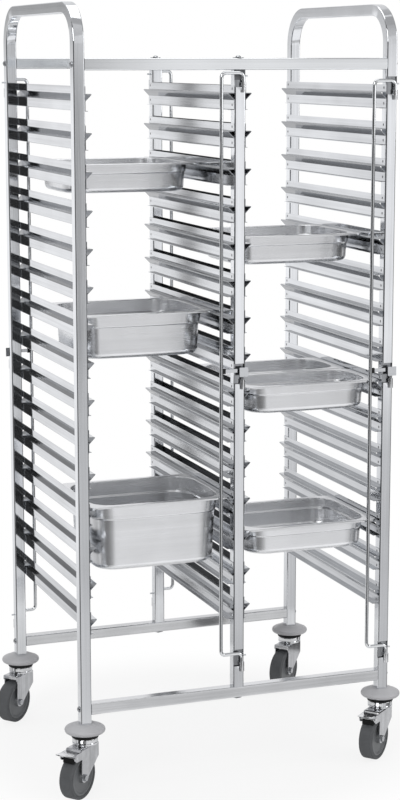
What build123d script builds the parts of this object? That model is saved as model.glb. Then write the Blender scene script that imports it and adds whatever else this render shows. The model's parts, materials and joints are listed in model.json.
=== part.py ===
from build123d import *
import math
import os

# Double rack trolley: X to the right, Y to the back, Z up, origin on the floor at its centre.
os.makedirs("parts", exist_ok=True)

# Frame of square tube. Its width follows from two bays of pans.
bay_clearance = 7.5
frame_depth = 566.0
frame_height = 1716.0
tube_side = 25.0
tube_wall = 1.5
tube_corner = 3.0
arch_bend = 75.0
top_rail_drop = 129.5
bottom_rail_height = 194.5

# Runners folded from sheet: plate, shelf, sloping web under the shelf, lower lip
top_shelf_drop = 60.5
runner_pitch = 80.5
lowest_runner_clearance = 100.0
runner_sheet = 1.2
runner_end_gap = 1.5
plate_above_shelf = 15.5
plate_below_shelf = 36.5
shelf_reach = 16.0
lip_reach = 10.0
lip_end_trim = 13.0

# Bolts and the threaded plugs in the tubes that hold them
plug_length = 20.0
plug_gap = 0.1
bolt_hole_gap = 0.3
bolt_shank = 8.0
bolt_engagement = 18.0
side_bolt_head = 14.0
side_bolt_dome = 5.0
post_bolt_head = 13.0
post_bolt_dome = 4.5
washer_diameter = 24.0
washer_thickness = 1.5

# Gates: a bent rod with two hooked ends in sockets, and a centre handle on the same hinge line
rod_diameter = 8.0
rod_bend = 10.0
gate_reach = 50.0
hinge_offset = 7.0
hinge_stand = 0.5
hook_length = 39.0
centre_gate_drop = 6.0
centre_gate_rise = 90.5
centre_gate_handle = 927.0
outer_gate_drop = 24.0
outer_gate_rise = 71.5
outer_gate_handle = 909.0
socket_wall = 1.74
socket_fit = 0.06
socket_length = 19.0
socket_floor = 2.0
socket_end_gap = 0.3
notch_above = 9.0
notch_below = 30.0
notch_back_gap = 1.0
notch_side_gap = 0.2
handle_window_above = 15.0
handle_height = 8.0
handle_thickness = 3.0
tab_side = 20.5
tab_thickness = 1.5
tab_stand = 6.9
tab_drop = 2.9
boss_width = 6.0
boss_height = 9.0
boss_drop = 7.5
boss_relief = 1.5
cap_length = 5.5
cap_height = 11.0
cap_thickness = 6.0
cap_overlap = 2.5
stud_diameter = 4.0
stud_reach = 6.0
stud_setback = 5.0
stud_drop = 7.0

# Casters, measured up from the floor and back from the swivel axis
caster_height = 161.0
caster_heading = 220.25
wheel_diameter = 100.0
wheel_width = 32.0
wheel_trail = 33.0
tyre_depth = 9.0
tyre_shoulder = 4.0
hub_inset = 1.0
hub_lip = 3.0
hub_dish = 3.0
hub_boss = 24.0
axle_diameter = 8.0
running_fit = 0.06
axle_head = 13.0
axle_head_height = 5.0
wheel_end_gap = 0.3
fork_side_gap = 1.5
fork_sheet = 2.5
fork_height = 117.0
fork_crown = 3.0
fork_rear = 24.0
fork_front = 42.0
fork_skirt = 32.0
fork_end = 11.0
fork_fold = 4.0
crown_lip = 4.0
crown_lip_depth = 12.0
swivel_gap = 0.3
race_diameter = 57.0
race_ring = 3.2
race_groove = 2.5
race_groove_depth = 3.0
seal_diameter = 60.0
seal_thickness = 10.0
kingpin_diameter = 12.0
kingpin_head = 22.0
kingpin_head_height = 3.5
stem_plug_length = 26.0
bumper_diameter = 90.0
bumper_edge = 12.0
bumper_height = 19.0
bumper_seat = 39.0
bumper_crown = 1.0

# Brakes on the two front casters
pedal_pin_trail = 62.0
pedal_pin_height = 103.0
pedal_pin_diameter = 5.0
pedal_barrel = 10.0
pedal_side_gap = 0.5
pedal_sheet = 2.5
pedal_back = 14.0
pedal_bend = 20.0
pedal_reach = 48.0
pedal_seat_height = 9.0
pedal_bend_height = 12.0
pedal_tip_height = 21.0
pedal_tip_width = 18.0
lug_radius = 9.0
block_width = 28.0
block_front = 5.0
brake_gap = 2.5

# Pans: rim, tapered body with a step below the rim, rounded bottom
pan_width = 325.0
half_size_pan = 265.0
third_size_pan = 176.0
shallow_pan = 65.0
medium_pan = 100.0
deep_pan = 150.0
pan_sheet = 0.9
pan_lip = 4.0
pan_rim = 14.5
pan_rim_corner = 20.0
pan_body_corner = 45.0
pan_step = 2.5
pan_step_height = 4.0
pan_draft = 0.045
pan_bottom_round = 12.0
pan_shelf_gap = 0.3
shallow_step_depth = 20.0
medium_step_depth = 27.0
deep_step_depth = 32.0

# How far behind the frame's front the front edges of the pans stand
gate_setback = 4.0
upper_left_setback = 198.0
middle_left_setback = 105.0
upper_right_setback = 97.0
second_row_setback = 185.0

# Cutting shapes reach this far past the faces that they cut
overcut = 1.0

# The three depths that pans come in, each with the depth of its stacking step
shallow = (shallow_pan, shallow_step_depth)
medium = (medium_pan, medium_step_depth)
deep = (deep_pan, deep_step_depth)

# Each pan: bay, level from the top, length, depths, setback
pan_places = {
    "left_upper_pan": ("left", 3, half_size_pan, shallow, upper_left_setback),
    "left_middle_pan": ("left", 7, half_size_pan, medium, middle_left_setback),
    "left_lower_pan": ("left", 12, half_size_pan, deep, gate_setback),
    "right_upper_pan": ("right", 5, half_size_pan, shallow, upper_right_setback),
    "right_middle_front_pan": ("right", 9, third_size_pan, shallow, gate_setback),
    "right_middle_rear_pan": ("right", 9, third_size_pan, shallow, second_row_setback),
    "right_lower_pan": ("right", 13, half_size_pan, shallow, gate_setback),
}

# Places that follow from the sizes
half_tube = tube_side / 2
frame_width = 3 * tube_side + 2 * (pan_width + bay_clearance)
tube_bore = tube_side - 2 * tube_wall
leg_x = frame_width / 2 - half_tube
leg_y = frame_depth / 2 - half_tube
leg_inner_x = leg_x - half_tube
front_face = -frame_depth / 2
top_rail_height = frame_height - top_rail_drop
post_bottom = bottom_rail_height + half_tube
post_top = top_rail_height - half_tube
top_shelf_height = top_rail_height - top_shelf_drop
lowest_shelf = post_bottom + plate_below_shelf + lowest_runner_clearance
runner_levels = int((top_shelf_height - lowest_shelf) / runner_pitch) + 1
bay_centre_x = (leg_inner_x + half_tube) / 2
bolt_hole = bolt_shank / 2 + bolt_hole_gap
rod_radius = rod_diameter / 2
centre_gate_top = post_top - centre_gate_drop
centre_gate_bottom = bottom_rail_height + centre_gate_rise
outer_gate_top = post_top - outer_gate_drop
outer_gate_bottom = bottom_rail_height + outer_gate_rise
hinge_y = front_face - hinge_stand
rod_x = hinge_offset - gate_reach
notch_back = hinge_y + rod_radius + notch_back_gap
notch_right = hinge_offset + rod_radius + notch_side_gap
socket_radius = rod_radius + socket_fit + socket_wall
wheel_radius = wheel_diameter / 2
fork_inner = wheel_width / 2 + fork_side_gap
fork_outer = fork_inner + fork_sheet
bumper_bottom = caster_height - bumper_height
seal_bottom = bumper_bottom - seal_thickness
kingpin_radius = kingpin_diameter / 2


def write_node(name, *shapes):
    solids = [solid for shape in shapes for solid in shape.solids()]
    export_step(solids[0] if len(solids) == 1 else Compound(solids), f"parts/{name}.step")


def turned(shape):
    # Seen from behind the frame is the same, so left and rear pieces are a half turn of these.
    return Rot(0, 0, 180) * shape


def block(x, y, z):
    # A box between two values along each axis
    size = [high - low for low, high in (x, y, z)]
    middle = [(high + low) / 2 for low, high in (x, y, z)]
    return Pos(*middle) * Box(*size)


def upright(radius, bottom, top, x=0.0, y=0.0):
    return Pos(x, y, (bottom + top) / 2) * Cylinder(radius, top - bottom)


def across(radius, left, right, y, z):
    # A round bar along X
    return Pos((left + right) / 2, y, z) * Rot(0, 90, 0) * Cylinder(radius, right - left)


def tube_section():
    bore_corner = tube_corner - tube_wall
    outside = RectangleRounded(tube_side, tube_side, tube_corner)
    return outside - RectangleRounded(tube_bore, tube_bore, bore_corner)


def upright_tube(bottom, top, x, y):
    return Pos(x, y, bottom) * extrude(tube_section(), top - bottom)


def cross_tube(left, right, y, z):
    return Pos(left, y, z) * (Plane.YZ * extrude(tube_section(), right - left))


def gate_cuts(post_x, top, bottom, handle):
    # Notches for the rod's ends and the handle, open at the post's left corner, and their sockets
    cuts = Part()
    for height, above in ((top, notch_above), (bottom, notch_above), (handle, handle_window_above)):
        left = post_x - half_tube - overcut
        cuts += block(
            (left, post_x + notch_right),
            (front_face - overcut, notch_back),
            (height - notch_below, height + above),
        )
        tip = height - hook_length - socket_end_gap
        seat = (tip - socket_floor, tip + socket_length)
        cuts += upright(socket_radius, *seat, post_x + hinge_offset, hinge_y)
    # Room beside the handle for the thumb tab's boss when the gate is open
    boss_top = handle - boss_drop + boss_height / 2 + boss_relief
    boss_bottom = handle - boss_drop - boss_height / 2 - boss_relief
    cuts += block(
        (post_x + notch_right - overcut, post_x + half_tube + overcut),
        (front_face - overcut, notch_back),
        (boss_bottom, boss_top),
    )
    return cuts


def gate_sockets(post_x, levels):
    # Sleeves welded into the post's front wall, closed at the lower end
    sockets = []
    x = post_x + hinge_offset
    for height in levels:
        tip = height - hook_length - socket_end_gap
        sleeve = upright(socket_radius, tip - socket_floor, tip + socket_length, x, hinge_y)
        bore = upright(rod_radius + socket_fit, tip, tip + socket_length, x, hinge_y)
        sockets.append(sleeve - bore)
    return sockets


def gate_studs(post_x, levels):
    face = post_x + half_tube
    y = front_face + stud_setback
    return [
        across(stud_diameter / 2, face, face + stud_reach, y, height - stud_drop)
        for height in levels
    ]


def gate_rod(post_x, top, bottom):
    # One round rod: hook in the lower socket, out to the left, up, back and down into the upper one
    points = [
        (hinge_offset, bottom - hook_length),
        (hinge_offset, bottom),
        (rod_x, bottom),
        (rod_x, top),
        (hinge_offset, top),
        (hinge_offset, top - hook_length),
    ]
    path = FilletPolyline(*[(post_x + x, hinge_y, z) for x, z in points], radius=rod_bend)
    return sweep(Plane(path @ 0, z_dir=path % 0) * Circle(rod_radius), path=path)


def gate_handle(post_x, height):
    # Flat bar from the rod to the hinge line, with its own hook and a square thumb tab in front
    hinge_x = post_x + hinge_offset
    bar_start = post_x + rod_x + rod_radius + cap_length - cap_overlap
    bar = block(
        (bar_start, hinge_x),
        (hinge_y - handle_thickness / 2, hinge_y + handle_thickness / 2),
        (height - handle_height / 2, height + handle_height / 2),
    )
    hook = upright(rod_radius, height - hook_length, height + handle_height / 2, hinge_x, hinge_y)
    tab_middle = height - tab_drop
    tab = block(
        (hinge_x - tab_side / 2, hinge_x + tab_side / 2),
        (hinge_y - tab_stand - tab_thickness, hinge_y - tab_stand),
        (tab_middle - tab_side / 2, tab_middle + tab_side / 2),
    )
    boss_middle = height - boss_drop
    boss = block(
        (hinge_x - boss_width / 2, hinge_x + boss_width / 2),
        (hinge_y - tab_stand, hinge_y),
        (boss_middle - boss_height / 2, boss_middle + boss_height / 2),
    )
    return bar + hook + tab + boss


def gate_cap(post_x, height, rod, handle):
    # Black cap on the bar's end, hollowed where it meets the rod
    start = post_x + rod_x
    body = block(
        (start, start + rod_radius + cap_length),
        (hinge_y - cap_thickness / 2, hinge_y + cap_thickness / 2),
        (height - cap_height / 2, height + cap_height / 2),
    )
    return body - rod - handle


def runner(face_x, side):
    # Side +1 reaches to the right of the plate's post, -1 to the left. The shelf's top is at Z 0.
    sheet = runner_sheet
    fold = shelf_reach - sheet * math.sqrt(2)
    outline = [
        (0, plate_above_shelf),
        (sheet, plate_above_shelf),
        (sheet, 0),
        (shelf_reach, 0),
        (sheet, sheet - shelf_reach),
        (sheet, sheet - plate_below_shelf),
        (lip_reach, sheet - plate_below_shelf),
        (lip_reach, -plate_below_shelf),
        (0, -plate_below_shelf),
        (0, -fold),
        (fold - sheet, -sheet),
        (0, -sheet),
    ]
    section = make_face(Polyline(*[(side * u, v) for u, v in outline], close=True))
    half_length = frame_depth / 2 - runner_end_gap
    sheet_piece = extrude(Plane.XZ * section, half_length, both=True)
    lip_x = sorted((side * sheet, side * (lip_reach + overcut)))
    lip_z = (-plate_below_shelf - overcut, 2 * sheet - plate_below_shelf)
    for end in (-1, 1):
        lip_y = sorted((end * (half_length - lip_end_trim), end * (half_length + overcut)))
        sheet_piece -= block(lip_x, lip_y, lip_z)
    return Pos(face_x, 0, 0) * sheet_piece


def runner_ladder(face_x, side):
    piece = runner(face_x, side)
    heights = [top_shelf_height - runner_pitch * level for level in range(runner_levels)]
    return [Pos(0, 0, height) * piece for height in heights]


def end_frame():
    # The right one: its front leg carries a gate
    x = leg_x
    top = frame_height - half_tube
    corners = [(x, -leg_y, caster_height), (x, -leg_y, top), (x, leg_y, top), (x, leg_y, caster_height)]
    path = FilletPolyline(*corners, radius=arch_bend)
    start = Plane(path @ 0, x_dir=(1, 0, 0), z_dir=path % 0)
    frame = sweep(start * tube_section(), path=path)
    for y in (-leg_y, leg_y):
        for height in (top_rail_height, bottom_rail_height):
            frame -= across(bolt_hole, x - half_tube - overcut, x + half_tube + overcut, y, height)
    return frame - gate_cuts(x, outer_gate_top, outer_gate_bottom, outer_gate_handle)


def rail(y, height):
    tube = cross_tube(-leg_inner_x, leg_inner_x, y, height)
    return tube - upright(bolt_hole, height - half_tube - overcut, height + half_tube + overcut, 0, y)


def tube_plug():
    # Fills a tube's end from Z 0 down, with the bolt's hole through it
    side = tube_bore - 2 * plug_gap
    body = extrude(RectangleRounded(side, side, tube_corner - tube_wall), -plug_length)
    return body - upright(bolt_hole, -plug_length - overcut, overcut)


def domed_bolt(head, dome, shank_length):
    # The head's flat is at Z 0 and its dome above
    half = head / 2
    shank = bolt_shank / 2
    outline = Polyline((0, dome), (0, -shank_length), (shank, -shank_length), (shank, 0), (half, 0))
    ball = (half**2 + dome**2) / (2 * dome)
    lean = math.asin(half / ball) / 2
    shoulder = (ball * math.sin(lean), dome - ball + ball * math.cos(lean))
    bulge = ThreePointArc((half, 0), shoulder, (0, dome))
    return revolve(Plane.XZ * make_face([*outline.edges(), bulge]), Axis.Z)


# Casters are drawn about the swivel axis with the wheel towards +X and the axle along Y.
def at_caster(shape, right, front):
    x = leg_x if right else -leg_x
    y = -leg_y if front else leg_y
    return Pos(x, y, 0) * Rot(0, 0, caster_heading) * shape


def along_axle(radius, half_length, x, z):
    return Pos(x, 0, z) * Rot(90, 0, 0) * Cylinder(radius, 2 * half_length)


def turned_about_axle(points):
    # Points are radius and distance along the axle, for one half of the width
    half = Polyline(*points, (points[0][0], 0), close=True)
    profile = make_face(half)
    whole = profile + mirror(profile, about=Plane.XZ)
    return Pos(wheel_trail, 0, wheel_radius) * revolve(whole, Axis.Y)


def tyre():
    inner = wheel_radius - tyre_depth
    half = wheel_width / 2
    return turned_about_axle(
        [
            (inner, half),
            (wheel_radius - tyre_shoulder, half),
            (wheel_radius, half - tyre_shoulder),
            (wheel_radius, 0),
        ]
    )


def hub():
    # Lip beside the tyre, dished web, and a boss that reaches almost to the fork
    rim = wheel_radius - tyre_depth
    half = wheel_width / 2 - hub_inset
    bore = axle_diameter / 2 + running_fit
    boss_end = fork_inner - wheel_end_gap
    return turned_about_axle(
        [
            (bore, boss_end),
            (hub_boss / 2, boss_end),
            (rim - 2 * hub_lip, half - hub_dish),
            (rim - hub_lip, half),
            (rim, half),
            (rim, 0),
        ]
    )


def axle():
    head = Plane.XZ.offset(fork_outer) * RegularPolygon(axle_head / 2, 6, major_radius=False)
    bolt = extrude(head, axle_head_height)
    ends = Pos(wheel_trail, 0, wheel_radius) * (bolt + mirror(bolt, about=Plane.XZ))
    return ends + along_axle(axle_diameter / 2, fork_outer, wheel_trail, wheel_radius)


def hull_of(*shapes):
    edges = [edge for shape in shapes for edge in shape.edges()]
    return make_hull(edges)


def rectangle(x, z):
    return Pos(sum(x) / 2, sum(z) / 2) * Rectangle(x[1] - x[0], z[1] - z[0])


def fork(braked):
    # Legs that taper to the axle, a crown with a short front lip, and lugs for the pedal's pin
    skirt = rectangle((-fork_rear, fork_front), (fork_height - fork_skirt, fork_height))
    side = hull_of(skirt, Pos(wheel_trail, wheel_radius) * Circle(fork_end))
    lip_x = (0, fork_front + crown_lip)
    side += rectangle(lip_x, (fork_height - crown_lip_depth, fork_height))
    if braked:
        pin = Pos(pedal_pin_trail, pedal_pin_height)
        root_z = (pedal_pin_height - lug_radius, pedal_pin_height + lug_radius)
        side += hull_of(rectangle((fork_front - lug_radius, fork_front), root_z), pin * Circle(lug_radius))
    body = extrude(Plane.XZ * side, fork_outer, both=True)
    body = fillet(body.edges().filter_by(Axis.X).group_by(Axis.Z)[-1], fork_fold)
    reach = wheel_trail + wheel_diameter
    body -= block((-reach, reach), (-fork_inner, fork_inner), (0, fork_height - fork_crown))
    body -= upright(kingpin_radius + running_fit, 0, fork_height + overcut)
    body -= along_axle(axle_diameter / 2 + bolt_hole_gap, fork_outer + overcut, wheel_trail, wheel_radius)
    if braked:
        pin_hole = pedal_pin_diameter / 2 + running_fit
        body -= along_axle(pin_hole, fork_outer + overcut, pedal_pin_trail, pedal_pin_height)
    return body


def pedal():
    # Sheet bent up towards the toe, tapering to a round tip, on a barrel with its pin through it
    tops = [
        (-pedal_back, pedal_seat_height),
        (pedal_bend, pedal_bend_height),
        (pedal_reach, pedal_tip_height),
    ]
    under = [(x, z - pedal_sheet) for x, z in reversed(tops)]
    half_width = fork_inner - pedal_side_gap
    plate = extrude(Plane.XZ * make_face(Polyline(*tops, *under, close=True)), half_width, both=True)
    tip = Pos(pedal_reach - pedal_tip_width / 2, 0) * Circle(pedal_tip_width / 2)
    wide = Pos((pedal_bend - pedal_back) / 2, 0) * Rectangle(pedal_bend + pedal_back, 2 * half_width)
    plate &= extrude(hull_of(tip, wide), pedal_tip_height + overcut)
    barrel = along_axle(pedal_barrel / 2, half_width, 0, 0)
    web_top = pedal_seat_height - pedal_sheet / 2
    web = block((-pedal_sheet / 2, pedal_sheet / 2), (-half_width, half_width), (0, web_top))
    pin = along_axle(pedal_pin_diameter / 2, fork_outer, 0, 0)
    return Pos(pedal_pin_trail, 0, pedal_pin_height) * (plate + barrel + web + pin)


def brake_block(pedal_piece):
    # Moulded block under the plate, hollowed to the tyre's curve with a gap while the brake is off
    top = pedal_pin_height + pedal_seat_height
    body = block(
        (pedal_pin_trail - pedal_back, pedal_pin_trail + block_front),
        (-block_width / 2, block_width / 2),
        (wheel_radius, top - pedal_sheet),
    )
    body -= along_axle(wheel_radius + brake_gap, block_width, wheel_trail, wheel_radius)
    return (body - pedal_piece).solids().sort_by(Axis.Z)[0]


def race_head():
    # Ball race housing with a groove above its lower ring
    bore = kingpin_radius + bolt_hole_gap
    radius = race_diameter / 2
    neck = radius - race_groove_depth
    low = fork_height + swivel_gap
    groove = low + race_ring
    outline = Polyline(
        (bore, low),
        (radius, low),
        (radius, groove),
        (neck, groove),
        (neck, groove + race_groove),
        (radius, groove + race_groove),
        (radius, seal_bottom),
        (bore, seal_bottom),
        close=True,
    )
    return revolve(Plane.XZ * make_face(outline), Axis.Z)


def seal():
    bore = kingpin_radius + bolt_hole_gap
    ring = upright(seal_diameter / 2, seal_bottom, bumper_bottom)
    return ring - upright(bore, seal_bottom, bumper_bottom)


def stem():
    # Kingpin with its riveted head under the fork's crown, and the square plug in the leg
    side = tube_bore - 2 * plug_gap
    plug = extrude(RectangleRounded(side, side, tube_corner - tube_wall), stem_plug_length)
    crown_under = fork_height - fork_crown - swivel_gap
    pin = upright(kingpin_radius, crown_under - kingpin_head_height, caster_height)
    head = upright(kingpin_head / 2, crown_under - kingpin_head_height, crown_under)
    return Pos(0, 0, caster_height) * plug + pin + head


def bumper():
    # Disc with a full-round edge, rising to a flat seat under the leg
    bore = kingpin_radius + bolt_hole_gap
    edge_radius = bumper_edge / 2
    flat = bumper_diameter / 2 - edge_radius
    edge_top = bumper_bottom + bumper_edge
    seat = bumper_seat / 2
    middle = ((flat + seat) / 2, (edge_top + caster_height) / 2 + bumper_crown)
    outline = [
        Line((bore, bumper_bottom), (flat, bumper_bottom)),
        ThreePointArc(
            (flat, bumper_bottom),
            (flat + edge_radius, bumper_bottom + edge_radius),
            (flat, edge_top),
        ),
        ThreePointArc((flat, edge_top), middle, (seat, caster_height)),
        Line((seat, caster_height), (bore, caster_height)),
        Line((bore, caster_height), (bore, bumper_bottom)),
    ]
    return revolve(Plane.XZ * make_face(outline), Axis.Z)


def ring(width, length, corner, z):
    return Pos(0, 0, z) * RectangleRounded(width, length, corner)


def well(length, depth, step_depth, skin):
    # Tapered well, smaller by the skin all round. The rim's top is at Z 0.
    width_top = pan_width - 2 * pan_rim - 2 * skin
    length_top = length - 2 * pan_rim - 2 * skin
    corner_top = pan_body_corner - skin
    floor = depth - skin
    bend = pan_bottom_round * (1 - math.sqrt(0.5))
    step_inset = pan_draft * step_depth
    wall_end = floor - pan_bottom_round
    wall_inset = pan_draft * wall_end + pan_step
    stations = [
        (0, 0),
        (step_depth, step_inset),
        (step_depth + pan_step_height, step_inset + pan_step),
        (wall_end, wall_inset),
        (floor - bend, wall_inset + bend),
        (floor, wall_inset + pan_bottom_round),
    ]
    sections = [
        ring(width_top - 2 * inset, length_top - 2 * inset, corner_top - inset / 2, -down)
        for down, inset in stations
    ]
    return loft(sections, ruled=True)


def pan(length, depth, step_depth):
    # Rim turned down to a lip at its edge, and the well hanging from it
    inside_width = pan_width - 2 * pan_sheet
    inside = ring(inside_width, length - 2 * pan_sheet, pan_rim_corner - pan_sheet, -pan_sheet)
    rim = extrude(ring(pan_width, length, pan_rim_corner, 0), -pan_lip) - extrude(inside, -pan_lip)
    return rim + well(length, depth, step_depth, 0) - well(length, depth, step_depth, pan_sheet)


def placed_pan(bay, level, length, depths, setback):
    x = bay_centre_x if bay == "right" else -bay_centre_x
    y = front_face + setback + length / 2
    shelf = top_shelf_height - runner_pitch * (level - 1)
    rim_top = shelf + pan_shelf_gap + pan_lip
    return Pos(x, y, rim_top) * pan(length, *depths)


# Frame
right_end_frame = end_frame()
write_node("right_end_frame", right_end_frame)
write_node("left_end_frame", turned(right_end_frame))

centre_cuts = gate_cuts(0, centre_gate_top, centre_gate_bottom, centre_gate_handle)
centre_front_post = upright_tube(post_bottom, post_top, 0, -leg_y) - centre_cuts
write_node("centre_front_post", centre_front_post)
write_node("centre_rear_post", turned(centre_front_post))

for place, height in (("top", top_rail_height), ("bottom", bottom_rail_height)):
    front_rail = rail(-leg_y, height)
    write_node(f"{place}_front_rail", front_rail)
    write_node(f"{place}_rear_rail", turned(front_rail))

write_node("left_outer_runners", *runner_ladder(-leg_inner_x, 1))
write_node("left_inner_runners", *runner_ladder(-half_tube, -1))
write_node("right_inner_runners", *runner_ladder(half_tube, 1))
write_node("right_outer_runners", *runner_ladder(leg_inner_x, -1))

# Bolts and plugs
plug = tube_plug()
plugs = []
side_bolts = []
post_bolts = []
side_bolt = domed_bolt(side_bolt_head, side_bolt_dome, tube_side + bolt_engagement)
post_bolt = domed_bolt(post_bolt_head, post_bolt_dome, washer_thickness + tube_side + bolt_engagement)
washer = upright(washer_diameter / 2, 0, washer_thickness) - upright(bolt_hole, 0, washer_thickness)
for y in (-leg_y, leg_y):
    for height in (top_rail_height, bottom_rail_height):
        for angle, side in ((90, 1), (-90, -1)):
            plugs.append(Pos(side * leg_inner_x, y, height) * Rot(0, angle, 0) * plug)
            side_bolts.append(Pos(side * frame_width / 2, y, height) * Rot(0, angle, 0) * side_bolt)
    for tilt, post_end, side in ((0, post_top, 1), (180, post_bottom, -1)):
        post_plug = Pos(0, y, post_end) * Rot(tilt, 0, 0) * plug
        plugs.append(post_plug - centre_cuts - turned(centre_cuts))
        seat = post_end + side * tube_side
        post_bolts.append(Pos(0, y, seat) * Rot(tilt, 0, 0) * washer)
        post_bolts.append(Pos(0, y, seat + side * washer_thickness) * Rot(tilt, 0, 0) * post_bolt)
write_node("tube_end_plugs", *plugs)
write_node("side_bolts", *side_bolts)
write_node("post_bolts", *post_bolts)

# Gates: one on the centre front post and one on the right front leg, repeated behind
centre_gate = (0, centre_gate_top, centre_gate_bottom, centre_gate_handle)
outer_gate = (leg_x, outer_gate_top, outer_gate_bottom, outer_gate_handle)
sockets = []
studs = []
for post_x, top, bottom, handle in (centre_gate, outer_gate):
    sockets += gate_sockets(post_x, (top, bottom, handle))
    studs += gate_studs(post_x, (top, bottom))
write_node("gate_sockets", *sockets, *[turned(socket) for socket in sockets])
write_node("gate_stop_studs", *studs, *[turned(stud) for stud in studs])

for front_name, rear_name, gate in (
    ("front_centre_gate", "rear_centre_gate", centre_gate),
    ("front_right_gate", "rear_left_gate", outer_gate),
):
    post_x, top, bottom, handle_height_up = gate
    rod = gate_rod(post_x, top, bottom)
    handle = gate_handle(post_x, handle_height_up)
    cap = gate_cap(post_x, handle_height_up, rod, handle)
    for part_name, piece in (("rod", rod), ("handle", handle), ("cap", cap)):
        write_node(f"{front_name}_{part_name}", piece)
        write_node(f"{rear_name}_{part_name}", turned(piece))

# Casters
corners = [(right, front) for right in (False, True) for front in (True, False)]
write_node("caster_bumpers", *[at_caster(bumper(), *corner) for corner in corners])
write_node("caster_seals", *[at_caster(seal(), *corner) for corner in corners])
write_node("caster_heads", *[at_caster(race_head(), *corner) for corner in corners])
# The plugs stay square to the legs, so the stems aren't turned with the forks.
stems = [Pos(x, y, 0) * stem() for x in (-leg_x, leg_x) for y in (-leg_y, leg_y)]
write_node("caster_stems", *stems)

wheel_pieces = (("axle", axle()), ("tyre", tyre()), ("hub", hub()))
for right, front in corners:
    name = f"{'front' if front else 'rear'}_{'right' if right else 'left'}"
    write_node(f"{name}_fork", at_caster(fork(front), right, front))
    for part_name, piece in wheel_pieces:
        write_node(f"{name}_{part_name}", at_caster(piece, right, front))
    if front:
        pedal_piece = pedal()
        write_node(f"{name}_brake_pedal", at_caster(pedal_piece, right, front))
        write_node(f"{name}_brake_block", at_caster(brake_block(pedal_piece), right, front))

# Pans
for name, place in pan_places.items():
    write_node(name, placed_pan(*place))
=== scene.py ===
import json
import math

import bmesh
import bpy
from mathutils import Euler, Matrix, Vector


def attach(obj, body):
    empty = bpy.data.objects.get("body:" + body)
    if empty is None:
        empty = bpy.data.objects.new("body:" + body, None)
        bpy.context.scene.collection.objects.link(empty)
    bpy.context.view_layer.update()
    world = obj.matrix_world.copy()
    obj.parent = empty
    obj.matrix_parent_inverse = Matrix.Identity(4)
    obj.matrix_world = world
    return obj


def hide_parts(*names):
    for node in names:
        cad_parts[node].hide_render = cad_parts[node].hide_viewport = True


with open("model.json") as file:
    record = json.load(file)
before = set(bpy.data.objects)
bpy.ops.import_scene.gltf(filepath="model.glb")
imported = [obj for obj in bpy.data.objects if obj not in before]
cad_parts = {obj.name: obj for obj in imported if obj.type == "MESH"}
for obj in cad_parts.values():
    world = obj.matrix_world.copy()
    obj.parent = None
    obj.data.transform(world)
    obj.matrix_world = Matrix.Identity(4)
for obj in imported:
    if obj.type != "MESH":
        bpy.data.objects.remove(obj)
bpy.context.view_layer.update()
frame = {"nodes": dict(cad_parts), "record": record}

# Camera of the photograph, solved from the frame's corners: about 4.7 m off, at head height,
# turned 20 degrees to the right and looking 10 degrees down. Its lens fits a frame 400 x 800.
photo_height = 800
focal_pixels = 1944.58
sensor_mm = 36.0
camera_place = (-1.53341, -4.18629, 1.60139)
camera_turn = math.radians(20.267)
camera_dip = math.radians(10.007)
camera_roll = math.radians(-0.056)
camera_data = bpy.data.cameras.new("photo_camera")
camera_data.sensor_fit = "VERTICAL"
camera_data.sensor_height = sensor_mm
camera_data.lens = focal_pixels * sensor_mm / photo_height
camera_data.clip_end = 60.0
camera = bpy.data.objects.new("photo_camera", camera_data)
bpy.context.scene.collection.objects.link(camera)
camera.location = camera_place
aim = Euler((math.pi / 2 - camera_dip, 0, -camera_turn)).to_matrix()
camera.rotation_euler = (aim @ Matrix.Rotation(camera_roll, 3, "Z")).to_euler()
bpy.context.scene.camera = camera
bpy.context.scene.view_settings.view_transform = "Standard"


# Studio: a white sweep under plain soft light. Polished steel is only as rich as what it
# mirrors, so reflections see a room that is white behind the trolley, with dark flats on both
# sides of the camera, bright soft boxes between them and one square to each side.
def linear(code):
    # An sRGB hex colour as linear red, green, blue and alpha
    parts = [int(code[i:i + 2], 16) / 255 for i in (1, 3, 5)]
    return [c / 12.92 if c <= 0.04045 else ((c + 0.055) / 1.055) ** 2.4 for c in parts] + [1.0]


def add(tree, kind, settings=None, **links):
    # Adds a node, sets its properties and sockets, and links earlier nodes to it, by a socket
    # or by their first output. A number, or a name such as _2, counts the node's inputs.
    node = tree.nodes.new(kind)
    for name, value in (settings or {}).items():
        if isinstance(name, int) or name in node.inputs:
            node.inputs[name].default_value = value
        else:
            setattr(node, name, value)
    for name, source in links.items():
        place = int(name[1:]) if name.startswith("_") else name.replace("_", " ")
        socket = source.outputs[0] if isinstance(source, bpy.types.Node) else source
        tree.links.new(socket, node.inputs[place])
    return node


world = bpy.data.worlds.new("white_studio")
bpy.context.scene.world = world
world.use_nodes = True
room = world.node_tree
room.nodes.clear()
direction = add(room, "ShaderNodeTexCoord").outputs["Generated"]
axes = add(room, "ShaderNodeSeparateXYZ", Vector=direction)
forward = add(room, "ShaderNodeMath", {"operation": "MULTIPLY", 1: -1.0}, _0=axes.outputs["Y"])
bearing = add(room, "ShaderNodeMath", {"operation": "ARCTAN2"}, _0=axes.outputs["X"], _1=forward)
turned = add(room, "ShaderNodeMapRange", {"From Min": -math.pi, "From Max": math.pi},
             Value=bearing)
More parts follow.
